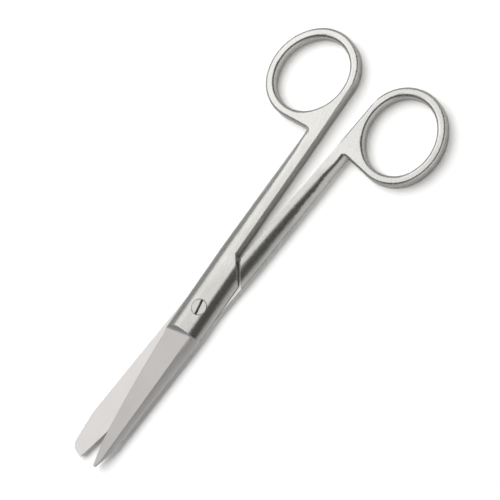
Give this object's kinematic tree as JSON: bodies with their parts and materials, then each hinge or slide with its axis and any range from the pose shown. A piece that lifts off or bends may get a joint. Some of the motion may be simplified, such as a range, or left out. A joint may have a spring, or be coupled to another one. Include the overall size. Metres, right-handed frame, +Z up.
{
  "type": "surgical scissors",
  "caption": "Straight stainless steel operating scissors with one sharp and one blunt tip, oval finger rings and a slotted pivot screw, lying flat and slightly open.",
  "frame": {"origin": "on the pivot axis, in the plane the scissors lie on (the underside of the joint)", "axes": "+X towards the finger rings along the middle of the opening, +Y to the ring of the sharp-pointed half, +Z up out of the face that carries the screw's head"},
  "size_m": [0.145, 0.0616, 0.004],
  "materials": {
    "satin_steel": "satin",
    "screw_steel": "satin"
  },
  "bodies": {
    "lower": {"blunt_half": "satin_steel", "pivot_screw": "screw_steel"},
    "upper": {"sharp_half": "satin_steel"}
  },
  "joints": [
    {"name": "pivot", "type": "hinge", "parent": "lower", "child": "upper", "pos_m": [0, 0, 0.002], "axis": [0, 0, 1], "range_deg": [-6, 84]}
  ]
}
